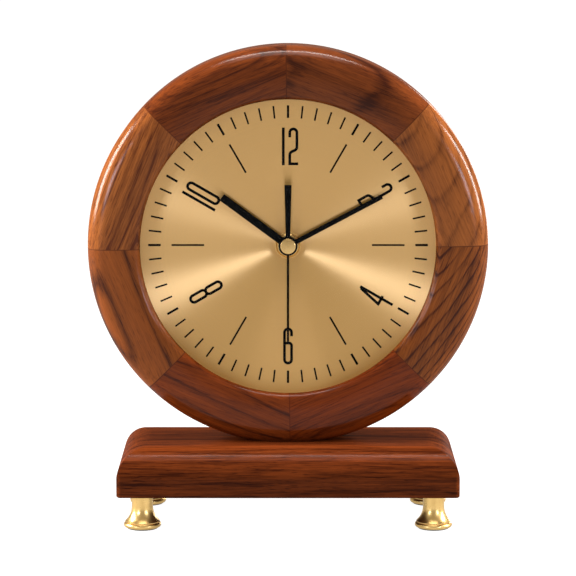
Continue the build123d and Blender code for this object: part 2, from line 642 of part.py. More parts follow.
HAND = 0.4
NEEDLE = 0.3
HOUR_HAND_FRONT = -7.0
MINUTE_HAND_FRONT = -8.2
SECOND_FRONT = -9.2
HOUR_PIPE_FRONT = HOUR_HAND_FRONT - 0.4
MINUTE_TUBE_FRONT = MINUTE_HAND_FRONT - 0.4
HOUR_WIDTH, MINUTE_WIDTH, NEEDLE_WIDTH = 3.8, 2.4, 1.1
TAIL_NEAR, TAIL_FAR = 2.0, 3.5
HOUR_HUB, MINUTE_HUB = 4.4, 3.6
HUB_RADIUS, CAP_RADIUS = 4.7, 3.88


def bar_hand(length, width, hub, bore, y_front, clock):
    """Straight square-ended hand with a round hub, pointing to a clock angle."""
    bar = Pos(0, length / 2) * Rectangle(width, length)
    outline = bar + Circle(hub) - Circle(bore)
    return clocked(slab(outline, y_front, y_front + HAND), clock)


def second_hand():
    """Needle, flared tail and hub disc, pressed on the seconds arbor."""
    needle = Pos(0, SECOND_LENGTH / 2) * Rectangle(NEEDLE_WIDTH, SECOND_LENGTH)
    tail = Polygon((-TAIL_NEAR / 2, 0), (-TAIL_FAR / 2, -SECOND_TAIL), (TAIL_FAR / 2, -SECOND_TAIL),
                   (TAIL_NEAR / 2, 0), align=None)
    outline = needle + tail + Circle(HUB_RADIUS)
    body = slab(outline, SECOND_FRONT, SECOND_FRONT + NEEDLE)
    body = body - disc(SECONDS_RADIUS, SECOND_FRONT - 1, SECOND_FRONT + 1)
    return clocked(body, SECOND_CLOCK)


def second_cap():
    """Domed brass cap with a rounded rim, over the second hand's hub."""
    crown, rim, rim_round = 0.6, 0.4, 0.35
    rise = crown - rim
    dome_radius = (CAP_RADIUS ** 2 + rise ** 2) / (2 * rise)
    dome = Pos(0, SECOND_FRONT - crown + dome_radius, DIAL_Z) * Sphere(dome_radius)
    cap = disc(CAP_RADIUS, SECOND_FRONT - crown, SECOND_FRONT) & dome
    return fillet(cap.edges().group_by(Axis.Y)[0], rim_round)


def write(name, solids):
    """Writes one node; a list is a group of separate solids."""
    shape = Compound(children=solids) if isinstance(solids, list) else solids
    export_step(shape, f"parts/{name}.step")


os.makedirs("parts", exist_ok=True)

screws_to_ring = [ring_screw(x) for x in (-RING_SCREW_X, RING_SCREW_X)]
for index in range(SEGMENTS):
    segment = ring_segment(index)
    for fastener in screws_to_ring + board_screws() + cover_screw_blanks():
        segment -= fastener
    write(f"ring_segment_{index + 1}", segment)
write("plinth", plinth())
write("ring_screws", screws_to_ring)
for name, (x, y) in zip(("front_left", "front_right", "rear_left", "rear_right"), foot_places()):
    write(f"foot_{name}", Pos(x, y, 0) * foot())
write("foot_pads", [Pos(x, y, 0) * foot_pad() for x, y in foot_places()])
write("foot_studs", [Pos(x, y, 0) * foot_stud() for x, y in foot_places()])
write("foot_inserts", [Pos(x, y, 0) * foot_insert() for x, y in foot_places()])

write("front_glass", glass())
write("glass_spacer", disc(DIAL_BORE - FIT_GAP, GLASS_BACK, DIAL_FRONT, bore=DIAL_BORE - 2.5))
write("dial_plate", dial_plate())
write("backing_board", backing_board())
write("backing_board_screws", board_screws())
write("rear_cover", rear_cover())
write("rear_cover_screws", cover_screws())

write("movement_case", movement_case())
write("movement_middle_plate", middle_plate())
write("movement_back_plate", back_plate())
write("movement_screws", movement_screws())
write("rubber_washer", disc(RUBBER_RADIUS, BOARD_BACK, MOVEMENT_FRONT, bore=BUSHING_RADIUS))
write("nut_washer", disc(WASHER_RADIUS, NUT_BACK, DIAL_FRONT, bore=BUSHING_RADIUS))
write("movement_nut", nut())
write("motor_stator", stator())
write("coil_spool", coil_spool())
write("coil_winding", coil_winding())
write("circuit_board", circuit_board())
write("quartz_crystal", quartz_crystal())
write("battery", battery())
write("positive_contact", positive_contact())
write("negative_contact", negative_contact())

write("rotor_magnet", rotor_magnet())
write("rotor_pinion", rotor_pinion())
write("fifth_wheel", fifth_wheel())
write("seconds_wheel", seconds_wheel())
write("seconds_arbor", seconds_arbor())
write("third_wheel", third_wheel())
write("centre_wheel", centre_wheel())
write("clutch_spring", clutch_spring())
write("minute_arbor", minute_arbor())
write("minute_wheel", minute_wheel())
write("hour_wheel", hour_wheel())
write("setting_knob", setting_knob())

write("hour_hand", bar_hand(HOUR_LENGTH, HOUR_WIDTH, HOUR_HUB, PIPE_RADIUS, HOUR_HAND_FRONT,
                            HOUR_CLOCK))
write("minute_hand", bar_hand(MINUTE_LENGTH, MINUTE_WIDTH, MINUTE_HUB, ARBOR_RADIUS, MINUTE_HAND_FRONT,
                              MINUTE_CLOCK))
write("second_hand", second_hand())
write("second_hand_cap", second_cap())
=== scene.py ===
import math

import bmesh
import bpy
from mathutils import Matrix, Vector


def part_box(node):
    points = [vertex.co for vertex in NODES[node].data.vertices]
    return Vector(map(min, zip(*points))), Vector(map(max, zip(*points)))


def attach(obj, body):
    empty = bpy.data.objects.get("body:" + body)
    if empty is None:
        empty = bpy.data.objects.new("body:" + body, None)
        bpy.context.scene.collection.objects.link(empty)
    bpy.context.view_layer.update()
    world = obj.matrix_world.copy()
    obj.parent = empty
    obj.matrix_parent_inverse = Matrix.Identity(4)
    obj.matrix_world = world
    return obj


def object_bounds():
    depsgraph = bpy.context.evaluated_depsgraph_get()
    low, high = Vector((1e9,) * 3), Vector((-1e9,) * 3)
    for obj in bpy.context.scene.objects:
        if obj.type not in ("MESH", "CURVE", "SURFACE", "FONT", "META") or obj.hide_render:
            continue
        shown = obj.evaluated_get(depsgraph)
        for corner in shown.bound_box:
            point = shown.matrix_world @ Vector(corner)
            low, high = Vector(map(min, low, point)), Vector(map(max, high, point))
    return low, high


# Mantel clock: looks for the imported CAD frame. Metres, +Z up, the dial faces -Y.
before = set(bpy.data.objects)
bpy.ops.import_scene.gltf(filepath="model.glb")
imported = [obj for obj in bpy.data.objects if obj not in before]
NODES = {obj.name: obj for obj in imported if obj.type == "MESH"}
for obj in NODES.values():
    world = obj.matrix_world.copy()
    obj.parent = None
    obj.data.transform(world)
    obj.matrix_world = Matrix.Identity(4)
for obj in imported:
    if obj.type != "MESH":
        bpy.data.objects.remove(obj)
CAD_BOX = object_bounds()
MM = 0.001

# ---------------------------------------------------------------- places read from the frame


def middle(node):
    """The middle of a node's box at rest."""
    low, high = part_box(node)
    return (low + high) / 2


DIAL_CENTRE = middle("dial_plate")
DIAL_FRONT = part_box("dial_plate")[0].y
FLOOR_HEIGHT = CAD_BOX[0].z
SEGMENTS = 8
SEGMENT_TURN = 360 / SEGMENTS
SEGMENT_LEAD = -0.6  # degrees that every joint of the ring stands before its half quarter
RING_OUTER = (CAD_BOX[1].x - CAD_BOX[0].x) / 2
RING_INNER = 73.6 * MM
RING_MIDDLE = (RING_OUTER + RING_INNER) / 2

# ---------------------------------------------------------------- camera

# Metres in front of the clock's middle plane and above the floor, degrees down, lens and sensor in mm.
CAMERA_DISTANCE = 1.3791
CAMERA_HEIGHT = 0.31165
CAMERA_PITCH = 8.055
CAMERA_LENS = 173.1
CAMERA_SENSOR = 36.0


def add_camera():
    data = bpy.data.cameras.new("camera")
    data.lens = CAMERA_LENS
    data.sensor_width = CAMERA_SENSOR
    data.clip_start = 0.05
    data.clip_end = 60.0
    data.dof.use_dof = False
    camera = bpy.data.objects.new("camera", data)
    camera.location = (0, -CAMERA_DISTANCE, CAMERA_HEIGHT)
    camera.rotation_euler = (math.radians(90 - CAMERA_PITCH), 0, 0)
    bpy.context.scene.collection.objects.link(camera)
    bpy.context.scene.camera = camera


# ---------------------------------------------------------------- node graphs


class Graph:
    """One material's node tree, ending in a Principled shader."""

    def __init__(self, name, **shader_inputs):
        self.material = bpy.data.materials.new(name)
        self.material.use_nodes = True
        self.tree = self.material.node_tree
        self.tree.nodes.clear()
        output = self.tree.nodes.new("ShaderNodeOutputMaterial")
        self.shader = self.tree.nodes.new("ShaderNodeBsdfPrincipled")
        self.tree.links.new(self.shader.outputs["BSDF"], output.inputs["Surface"])
        self.coordinates = self.add("TexCoord").outputs["Object"]
        self.set(shader_inputs)

    def set(self, inputs, node=None):
        """Sets or links inputs of a node, the shader if none is given. Underscores stand for spaces."""
        node = node or self.shader
        for key, value in inputs.items():
            socket = node.inputs[key.replace("_", " ") if isinstance(key, str) else key]
            if isinstance(value, bpy.types.NodeSocket):
                self.tree.links.new(value, socket)
            elif isinstance(value, tuple) and socket.type == "RGBA":
                socket.default_value = (*value, 1)
            else:
                socket.default_value = value

    def add(self, kind, inputs=None, **settings):
        node = self.tree.nodes.new("ShaderNode" + kind)
        for key, value in settings.items():
            setattr(node, key, value)
        self.set(inputs or {}, node)
        return node

    def math(self, operation, first, second=0.0, third=0.0):
        inputs = {0: first, 1: second, 2: third}
        return self.add("Math", inputs, operation=operation).outputs[0]

    def vector_math(self, operation, first, second=(0, 0, 0)):
        return self.add("VectorMath", {0: first, 1: second}, operation=operation).outputs[0]

    def radius(self, first, second):
        """Distance from the axis that two coordinates are measured across."""
        squares = self.math("MULTIPLY_ADD", first, first, self.math("MULTIPLY", second, second))
        return self.math("SQRT", squares)

    def split(self, vector):
        node = self.add("SeparateXYZ", {"Vector": vector})
        return node.outputs[0], node.outputs[1], node.outputs[2]

    def local(self, origin, turn=(0, 0, 0)):
        """Object coordinates in a frame that stands at origin, turned by the given radians."""
        inputs = {"Vector": self.coordinates, "Location": tuple(origin), "Rotation": turn}
        return self.add("Mapping", inputs, vector_type="TEXTURE").outputs[0]

    def stretch(self, vector, *scale):
        return self.add("Mapping", {"Vector": vector, "Scale": scale}).outputs[0]

    def shift(self, vector, *offset):
        return self.add("Mapping", {"Vector": vector, "Location": offset}).outputs[0]

    def noise(self, vector, scale=1.0, detail=2.0, roughness=0.5, distortion=0.0):
        inputs = {"Vector": vector, "Scale": scale, "Detail": detail}
        inputs.update({"Roughness": roughness, "Distortion": distortion})
        return self.add("TexNoise", inputs).outputs["Fac"]

    def level(self, value, low, high, out_low=0.0, out_high=1.0):
        """Value between low and high, carried linearly to the output range and held at its ends."""
        inputs = {"Value": value, "From_Min": low, "From_Max": high}
        inputs.update({"To_Min": out_low, "To_Max": out_high})
        return self.add("MapRange", inputs).outputs[0]

    def ramp(self, value, stops):
        """A colour ramp; a stop is (position, grey level) or (position, colour)."""
        node = self.add("ValToRGB", {"Fac": value})
        elements = node.color_ramp.elements
        while len(elements) < len(stops):
            elements.new(0.5)
        for element, (position, tone) in zip(elements, stops):
            element.position = position
            colour = tone if isinstance(tone, tuple) else (tone, tone, tone)
            element.color = (*colour, 1)
        return node.outputs["Color"]

    def mix(self, factor, first, second, blend="MIX"):
        node = self.add("Mix", data_type="RGBA", blend_type=blend)
        self.set({0: factor, 6: first, 7: second}, node)
        return node.outputs[2]

    def bump(self, height, distance, strength=1.0, normal=None):
        inputs = {"Height": height, "Distance": distance, "Strength": strength}
        if normal is not None:
            inputs["Normal"] = normal
        return self.add("Bump", inputs).outputs[0]


# ---------------------------------------------------------------- wood

WOOD_ROUGHNESS = 0.34
WOOD_SPECULAR = 0.0
WOOD_COAT = 0.33
WOOD_COAT_ROUGHNESS = 0.18
GLUE_LINE = 0.22 * MM
WARMER = (1.14, 1.2, 1.25)  # the warm patches of the ground colour, as a multiple of the light one

# How fast each noise of the wood changes along the grain, in depth and across, per metre.
SLOW_WANDER = (9, 26, 26)
FAST_WANDER = (34, 190, 190)
FIBRES = (26, 620, 620)
THREADS = (60, 1500, 1500)
BANDS = (7, 130, 130)
CLOUDS = (14, 30, 30)
PORES = (170, 2300, 2300)
WARM_PATCHES = (5, 60, 60)
SEED_STEP = (0.37, 0.11, 0.23)  # metres that a board's noises move for each unit of its seed
FAST_WANDER_SHARE = 0.12  # of the slow wander's strength

# How much each noise darkens the wood. Fibres and bands follow a board's streaks, threads partly.
FIBRE_SHADE = 0.55
BAND_SHADE = 0.6
CLOUD_SHADE = 0.16
THREAD_SHADE = 0.25
THREAD_FLOOR = 0.2
PORE_SHADE = 0.3

# Darkness through one growth ring, from the end of one late wood to the next.
GROWTH_RING = [(0.0, 0.55), (0.07, 0.08), (0.45, 0.0), (0.78, 0.3), (0.94, 1.0), (1.0, 0.55)]


def wood(name, origin, turn, light, dark, pith, tilt, density, line, warp, streak, seed, coat=WOOD_COAT,
         joint=None):
    """Lacquered hardwood, grain along the local X axis of a frame at origin.

    pith is the growth axis (depth, across) in metres, tilt its slope along the grain (depth, across),
    density the growth rings per metre, line how dark a ring's late wood is, warp how far rings wander,
    streak how strong the fibre streaks are. joint is half the angle between the planes that end the
    piece, where a dark glue line shows, or None.
    """
    graph = Graph(name, Coat_Weight=coat, Coat_Roughness=WOOD_COAT_ROUGHNESS,
                  Specular_IOR_Level=WOOD_SPECULAR)
    local = graph.local(origin, turn)
    seeded = graph.shift(local, *(seed * step for step in SEED_STEP))
    along, depth, across = graph.split(local)

    late = late_wood(graph, seeded, (along, depth, across), pith, tilt, density, warp)
    fibre = graph.noise(graph.stretch(seeded, *FIBRES), detail=4.0, roughness=0.6)
    pore = graph.level(graph.noise(graph.stretch(seeded, *PORES), detail=1.0), 0.6, 0.72)
    shade = wood_shade(graph, seeded, late, fibre, pore, line, streak)
    if joint is not None:
        shade = graph.math("MAXIMUM", shade, joint_darkness(graph, along, across, origin, joint))
    shade = graph.math("MINIMUM", shade, 1.0)

    patches = graph.noise(graph.stretch(seeded, *WARM_PATCHES), detail=1.0)
    warm = tuple(min(1.0, c * k) for c, k in zip(light, WARMER))
    ground = graph.mix(graph.level(patches, 0.3, 0.7), light, warm)
    uneven = graph.math("ADD", fibre, pore)
    rough = graph.level(uneven, 0.3, 1.4, WOOD_ROUGHNESS - 0.05, WOOD_ROUGHNESS + 0.16)
    relief = graph.math("SUBTRACT", graph.math("MULTIPLY", fibre, 0.35), pore)
    normal = graph.bump(relief, 0.03 * MM, 0.55)
    graph.set({"Base Color": graph.mix(shade, ground, dark), "Roughness": rough, "Normal": normal})
    return graph.material


def late_wood(graph, seeded, place, pith, tilt, density, warp):
    """How far a point is into the dark part of its growth ring. The rings are round a leaning axis."""
    along, depth, across = place
    slow = graph.noise(graph.stretch(seeded, *SLOW_WANDER), detail=2.0)
    fast = graph.noise(graph.stretch(seeded, *FAST_WANDER), detail=2.0)
    wander = graph.math("MULTIPLY", graph.math("SUBTRACT", slow, 0.5), warp)
    wander = graph.math("MULTIPLY_ADD", graph.math("SUBTRACT", fast, 0.5), warp * FAST_WANDER_SHARE, wander)
    deep = graph.math("MULTIPLY_ADD", along, tilt[0], graph.math("SUBTRACT", depth, pith[0]))
    wide = graph.math("MULTIPLY_ADD", along, tilt[1], graph.math("SUBTRACT", across, pith[1]))
    radius = graph.math("ADD", graph.radius(deep, wide), wander)
    ring = graph.math("FRACT", graph.math("MULTIPLY", radius, density))
    return graph.ramp(ring, GROWTH_RING)


def wood_shade(graph, seeded, late, fibre, pore, line, streak):
    """All that darkens the ground colour: growth rings, fibres, bands, clouds, threads and pores."""
    band = graph.noise(graph.stretch(seeded, *BANDS), detail=3.0, roughness=0.55)
    cloud = graph.noise(graph.stretch(seeded, *CLOUDS), detail=2.0)
    thread = graph.noise(graph.stretch(seeded, *THREADS), detail=3.0, roughness=0.65)
    uneven = graph.level(band, 0.3, 0.75, 0.45, 1.0)
    shade = graph.math("MULTIPLY", graph.math("MULTIPLY", late, line), uneven)
    layers = [
        (graph.level(fibre, 0.34, 0.72), streak * FIBRE_SHADE),
        (graph.level(band, 0.4, 0.68), streak * BAND_SHADE),
        (graph.level(cloud, 0.35, 0.7), CLOUD_SHADE),
        (graph.level(thread, 0.4, 0.66), THREAD_FLOOR + streak * THREAD_SHADE),
        (pore, PORE_SHADE),
    ]
    for layer, weight in layers:
        shade = graph.math("MULTIPLY_ADD", layer, weight, shade)
    return shade


def joint_darkness(graph, along, across, origin, half_turn):
    """1 on the thin glue lines where a ring segment meets its neighbours, 0 elsewhere."""
    radius = (Vector(origin) - DIAL_CENTRE).length
    outward = graph.math("ADD", across, radius)
    slope = math.tan(math.radians(half_turn))
    reach = graph.math("MULTIPLY", outward, slope)
    gap = graph.math("SUBTRACT", reach, graph.math("ABSOLUTE", along))
    return graph.level(gap, GLUE_LINE * 0.6, GLUE_LINE * 2.6, 0.85, 0.0)


# One board for each segment, clockwise from the top. wood() says what the values are. The tones are partly
# each board's own colour and partly painted light and shade, so mirrored segments nearly match: the side
# pairs (2 and 7, 3 and 6) are painted paler where the side lamps' highlights fall, and the top pair (1 and
# 8) darker for the shade there.
RING_WOODS = [
    dict(light=(0.189, 0.041, 0.0075), dark=(0.036, 0.007, 0.0022), pith=(0.045, -0.018), tilt=(0.32, 0.1),
         density=85, line=0.8, warp=0.022, streak=0.45, seed=1.0),
    dict(light=(0.354, 0.101, 0.021), dark=(0.07, 0.017, 0.0048), pith=(0.075, 0.012), tilt=(0.3, -0.05),
         density=210, line=0.5, warp=0.008, streak=0.4, seed=2.3),
    dict(light=(0.275, 0.069, 0.011), dark=(0.042, 0.0084, 0.0024), pith=(0.19, 0.10), tilt=(0.1, 0.12),
         density=430, line=0.85, warp=0.006, streak=0.5, seed=3.1),
    dict(light=(0.226, 0.037, 0.0045), dark=(0.063, 0.0098, 0.0022), pith=(0.12, -0.14), tilt=(0.05, 0.06),
         density=360, line=0.4, warp=0.006, streak=0.5, seed=4.7),
    dict(light=(0.232, 0.041, 0.0055), dark=(0.049, 0.0084, 0.0024), pith=(0.12, 0.09), tilt=(0.1, -0.1),
         density=190, line=0.6, warp=0.007, streak=0.4, seed=5.2),
    dict(light=(0.287, 0.069, 0.011), dark=(0.039, 0.0084, 0.0024), pith=(0.09, -0.07), tilt=(0.12, 0.2),
         density=150, line=0.9, warp=0.007, streak=0.2, seed=6.6),
    dict(light=(0.378, 0.109, 0.022), dark=(0.084, 0.018, 0.0048), pith=(0.2, 0.16), tilt=(0.05, -0.06),
         density=330, line=0.5, warp=0.004, streak=0.65, seed=7.4),
    dict(light=(0.195, 0.039, 0.006), dark=(0.046, 0.0084, 0.0024), pith=(0.2, -0.2), tilt=(0.03, 0.03),
         density=420, line=0.4, warp=0.003, streak=0.7, seed=8.9),
]
PLINTH_WOOD = dict(light=(0.183, 0.035, 0.0065), dark=(0.034, 0.0063, 0.0019), pith=(-0.10, -0.12),
                   tilt=(0.08, -0.05), density=190, line=0.3, warp=0.016, streak=0.7, seed=11.0, coat=0.08)


def dress_ring():
    """Each of the eight segments is cut from its own board, with the grain along its chord."""
    for index, board in enumerate(RING_WOODS):
        turn = math.radians((index + 0.5) * SEGMENT_TURN + SEGMENT_LEAD)
        outward = Vector((math.sin(turn), 0, math.cos(turn)))
        origin = DIAL_CENTRE + outward * RING_MIDDLE
        name = f"ring_segment_{index + 1}"
        material = wood(f"{name}_wood", origin, (0, turn, 0), joint=SEGMENT_TURN / 2, **board)
        paint(name, material)


def dress_plinth():
    paint("plinth", wood("plinth_grain", middle("plinth"), (0, 0, 0), **PLINTH_WOOD))


def paint(node, material):
    for slot in NODES[node].material_slots:
        slot.material = material


# ---------------------------------------------------------------- metals


DIAL_DISH = 0.14  # slope by which the dial's normals lean to its middle, as on a shallow dish
DIAL_BRASS = (0.79, 0.405, 0.055)
DIAL_BRASS_PALE = (0.88, 0.465, 0.07)
DIAL_ROUGHNESS = (0.31, 0.39)
LATHE_LINES = 2600
PLATING_GRAIN = 900
AGED = (0.9, 0.86, 0.8)  # the dull patches of turned metal, as a multiple of its colour


def spun_brass(name):
    """Dial sheet turned on a lathe: concentric brushing, so lights draw out into fans."""
    graph = Graph(name, Metallic=0.6, IOR=4.3, Anisotropic=0.98, Anisotropic_Rotation=0.25)
    place = graph.local(DIAL_CENTRE)
    across, _, up = graph.split(place)
    radius = graph.radius(across, up)
    ringed = graph.add("CombineXYZ", {0: radius}).outputs[0]
    fine = graph.noise(ringed, scale=5200, detail=3.0, roughness=0.7)
    coarse = graph.noise(ringed, scale=900, detail=2.0)
    tone = graph.math("MULTIPLY_ADD", coarse, 0.4, graph.math("MULTIPLY", fine, 0.6))
    tone = graph.level(tone, 0.3, 0.7)
    colour = graph.mix(tone, DIAL_BRASS, DIAL_BRASS_PALE)
    rough = graph.level(tone, 0.0, 1.0, *DIAL_ROUGHNESS)
    tangent = graph.add("Tangent", direction_type="RADIAL", axis="Y").outputs[0]
    spread = graph.add("CombineXYZ", {0: radius, 1: radius, 2: radius}).outputs[0]
    inward = graph.vector_math("DIVIDE", graph.vector_math("MULTIPLY", place, (-DIAL_DISH,) * 3), spread)
    leaning = graph.vector_math("NORMALIZE", graph.vector_math("ADD", inward, (0, -1, 0)))
    normal = graph.bump(fine, 0.004 * MM, 0.4, leaning)
    graph.set({"Base Color": colour, "Roughness": rough, "Normal": normal, "Tangent": tangent})
    return graph.material


def turned_metal(name, colour, roughness, centre=None):
    """Metal with fine lathe lines, stacked along Z or, when centre is given, round it."""
    graph = Graph(name, Metallic=1.0)
    across, _, place = graph.split(graph.local(centre or (0, 0, 0)))
    if centre is not None:
        place = graph.radius(across, place)
    ringed = graph.add("CombineXYZ", {0: place}).outputs[0]
    line = graph.noise(ringed, scale=LATHE_LINES, detail=2.0)
    blotch = graph.noise(graph.coordinates, scale=240, detail=3.0)
    dull = tuple(c * k for c, k in zip(colour, AGED))
    tone = graph.mix(graph.level(blotch, 0.3, 0.75), colour, dull)
    rough = graph.level(graph.math("ADD", line, blotch), 0.6, 1.4, roughness * 0.75, roughness * 1.35)
    graph.set({"Base Color": tone, "Roughness": rough, "Normal": graph.bump(line, 0.004 * MM, 0.5)})
    return graph.material


def plated_metal(name, colour, roughness):
    """Plated or bare sheet metal, faintly clouded."""
    graph = Graph(name, Metallic=1.0)
    cloud = graph.noise(graph.coordinates, scale=PLATING_GRAIN * 0.25, detail=3.0)
    speck = graph.noise(graph.coordinates, scale=PLATING_GRAIN * 4, detail=2.0)
    shade = tuple(c * 0.78 for c in colour)
    tone = graph.mix(graph.level(cloud, 0.35, 0.7), colour, shade)
    rough = graph.level(speck, 0.3, 0.7, roughness * 0.8, roughness * 1.3)
    graph.set({"Base Color": tone, "Roughness": rough, "Normal": graph.bump(speck, 0.005 * MM, 0.3)})
    return graph.material


# ---------------------------------------------------------------- plastics, boards and soft pieces

BOARD_FIBRES = 420
WIRE_PITCH = 0.22 * MM
TRACKS = 420.0
JACKET_DARK = (0.02, 0.022, 0.026)
JACKET_BAND = (0.62, 0.40, 0.12)
BAND_START = 0.70  # share of the cell's length, from its left end


def plastic(name, colour, roughness, grain=2200, depth=0.02 * MM):
    """Moulded plastic with a fine spark-eroded texture."""
    graph = Graph(name)
    speck = graph.noise(graph.coordinates, scale=grain, detail=2.0)
    cloud = graph.noise(graph.coordinates, scale=60, detail=2.0)
    lighter = tuple(min(1.0, c * 1.25 + 0.004) for c in colour)
    tone = graph.mix(graph.level(cloud, 0.3, 0.7), colour, lighter)
    rough = graph.level(speck, 0.3, 0.7, roughness * 0.85, roughness * 1.2)
    graph.set({"Base Color": tone, "Roughness": rough, "Normal": graph.bump(speck, depth, 0.35)})
    return graph.material


def enamel(name, colour, roughness):
    """Baked black enamel on the hands, with faint orange peel."""
    graph = Graph(name, Specular_IOR_Level=0.03)
    peel = graph.noise(graph.coordinates, scale=1500, detail=1.0)
    lighter = tuple(c * 1.8 + 0.001 for c in colour)
    tone = graph.mix(graph.level(peel, 0.35, 0.7), colour, lighter)
    rough = graph.level(peel, 0.3, 0.7, roughness * 0.9, roughness * 1.15)
    graph.set({"Base Color": tone, "Roughness": rough, "Normal": graph.bump(peel, 0.006 * MM, 0.3)})
    return graph.material


def fibre_sheet(name, colour, fleck, roughness=0.8):
    """Pressed fibreboard or card: short matted fibres."""
    graph = Graph(name, Specular_IOR_Level=0.25)
    lying = graph.stretch(graph.coordinates, 1, 1, 4)
    standing = graph.stretch(graph.coordinates, 4, 1, 1)
    one = graph.noise(lying, scale=BOARD_FIBRES, detail=5.0, roughness=0.7)
    two = graph.noise(standing, scale=BOARD_FIBRES, detail=5.0, roughness=0.7)
    mat = graph.math("MAXIMUM", one, two)
    tone = graph.mix(graph.level(mat, 0.42, 0.75), colour, fleck)
    graph.set({"Base Color": tone, "Roughness": roughness, "Normal": graph.bump(mat, 0.06 * MM, 0.5)})
    return graph.material


def felt(name, colour):
    """Matted wool with a soft nap."""
    graph = Graph(name, Sheen_Weight=0.6, Sheen_Roughness=0.5, Specular_IOR_Level=0.1)
    nap = graph.noise(graph.coordinates, scale=1700, detail=6.0, roughness=0.75)
    clump = graph.noise(graph.coordinates, scale=320, detail=2.0)
    lighter = tuple(c * 2.4 for c in colour)
    tone = graph.mix(graph.level(graph.math("MULTIPLY", nap, clump), 0.12, 0.4), colour, lighter)
    graph.set({"Base Color": tone, "Roughness": 0.95, "Normal": graph.bump(nap, 0.12 * MM, 0.6)})
    return graph.material


def clear_glass(name):
    """Flat front glass: nearly all see-through, with the faintest smears in its gloss."""
    graph = Graph(name, Alpha=0.035, IOR=1.5, Base_Color=(0.0, 0.0, 0.0))
    smear = graph.noise(graph.coordinates, scale=18, detail=3.0)
    graph.set({"Roughness": graph.level(smear, 0.3, 0.7, 0.02, 0.06)})
    return graph.material


def windings(name, colour):
    """Enamelled copper wire in close turns along X, with shade painted into the grooves between the turns.
    """
    graph = Graph(name, Metallic=0.9, Coat_Weight=0.5, Coat_Roughness=0.15)
    place = graph.split(graph.coordinates)[0]
    wave = graph.math("SINE", graph.math("MULTIPLY", place, 2 * math.pi / WIRE_PITCH))
    height = graph.level(wave, -1.0, 1.0)
    # Painted shade: the colour falls to a third of itself in the grooves between the turns, and random
    # blotches dim it further.
    dark = tuple(c * 0.35 for c in colour)
    blotch = graph.noise(graph.coordinates, scale=500, detail=2.0)
    painted_groove_shading = graph.math("MULTIPLY", height, graph.level(blotch, 0.2, 0.6, 0.6, 1.0))
    tone = graph.mix(painted_groove_shading, dark, colour)
    graph.set({"Base Color": tone, "Roughness": 0.35, "Normal": graph.bump(height, 0.05 * MM, 0.6)})
    return graph.material


def circuit_green(name):
    """Solder mask with faint copper tracks under it."""
    graph = Graph(name, Coat_Weight=0.4, Coat_Roughness=0.2)
    cells = graph.add("TexBrick", {"Vector": graph.coordinates, "Scale": TRACKS})
    track = cells.outputs["Fac"]
    weave = graph.noise(graph.coordinates, scale=2500, detail=2.0)
    tone = graph.mix(track, (0.012, 0.11, 0.045), (0.03, 0.2, 0.08))
    tone = graph.mix(graph.level(weave, 0.3, 0.8, 0.0, 0.3), tone, (0.01, 0.06, 0.03))
    graph.set({"Base Color": tone, "Roughness": 0.35, "Normal": graph.bump(track, 0.03 * MM, 0.4)})
    return graph.material


def cell_jacket(name):
    """Shrink film round the dry cell: plain dark body with one pale generic band at its positive end."""
    graph = Graph(name, Coat_Weight=0.6, Coat_Roughness=0.12)
    low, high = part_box("battery")
    start = graph.math("SUBTRACT", graph.split(graph.coordinates)[0], low.x)
    share = graph.math("DIVIDE", start, high.x - low.x)
    dark_end = [(0.0, JACKET_DARK), (BAND_START, JACKET_DARK)]
    pale_end = [(BAND_START + 0.01, JACKET_BAND), (1.0, JACKET_BAND)]
    band = graph.ramp(share, dark_end + pale_end)
    wrinkle = graph.noise(graph.stretch(graph.coordinates, 30, 300, 300), detail=2.0)
    tone = graph.mix(graph.level(wrinkle, 0.4, 0.8, 0.0, 0.12), band, (0.5, 0.5, 0.5))
    graph.set({"Base Color": tone, "Roughness": 0.3, "Normal": graph.bump(wrinkle, 0.03 * MM, 0.3)})
    return graph.material


# The record's slots, but for the woods: the material's function and its settings. The spacer is
# brass-coloured to match the dial's edge, whatever its slot's name says.
SLOT_FINISHES = {
    "polished_brass": (turned_metal, dict(colour=(0.86, 0.58, 0.22), roughness=0.3)),
    "turned_brass": (turned_metal, dict(colour=(0.82, 0.56, 0.22), roughness=0.2, centre=DIAL_CENTRE)),
    "cap_brass": (turned_metal, dict(colour=(0.86, 0.58, 0.24), roughness=0.22, centre=DIAL_CENTRE)),
    "spun_brass": (spun_brass, {}),
    "zinc_steel": (plated_metal, dict(colour=(0.62, 0.62, 0.6), roughness=0.3)),
    "felt": (felt, dict(colour=(0.012, 0.011, 0.010))),
    "clear_glass": (clear_glass, {}),
    "spacer_black": (plastic, dict(colour=(0.45, 0.30, 0.12), roughness=0.5)),
    "fibreboard": (fibre_sheet, dict(colour=(0.26, 0.16, 0.09), fleck=(0.16, 0.09, 0.05))),
    "black_board": (fibre_sheet, dict(colour=(0.016, 0.015, 0.014), fleck=(0.035, 0.032, 0.03),
                                      roughness=0.62)),
    "black_plastic": (plastic, dict(colour=(0.014, 0.014, 0.015), roughness=0.42)),
    "white_plastic": (plastic, dict(colour=(0.72, 0.71, 0.67), roughness=0.4, depth=0.01 * MM)),
    "knob_plastic": (plastic, dict(colour=(0.02, 0.02, 0.022), roughness=0.36)),
    "black_rubber": (plastic, dict(colour=(0.012, 0.012, 0.012), roughness=0.75, grain=900)),
    "soft_iron": (plated_metal, dict(colour=(0.42, 0.42, 0.43), roughness=0.42)),
    "copper_wire": (windings, dict(colour=(0.78, 0.32, 0.12))),
    "board_green": (circuit_green, {}),
    "bright_metal": (plated_metal, dict(colour=(0.78, 0.77, 0.74), roughness=0.22)),
    "cell_jacket": (cell_jacket, {}),
    "magnet": (plated_metal, dict(colour=(0.22, 0.22, 0.23), roughness=0.5)),
    "hand_black": (enamel, dict(colour=(0.002, 0.002, 0.002), roughness=0.5)),
}


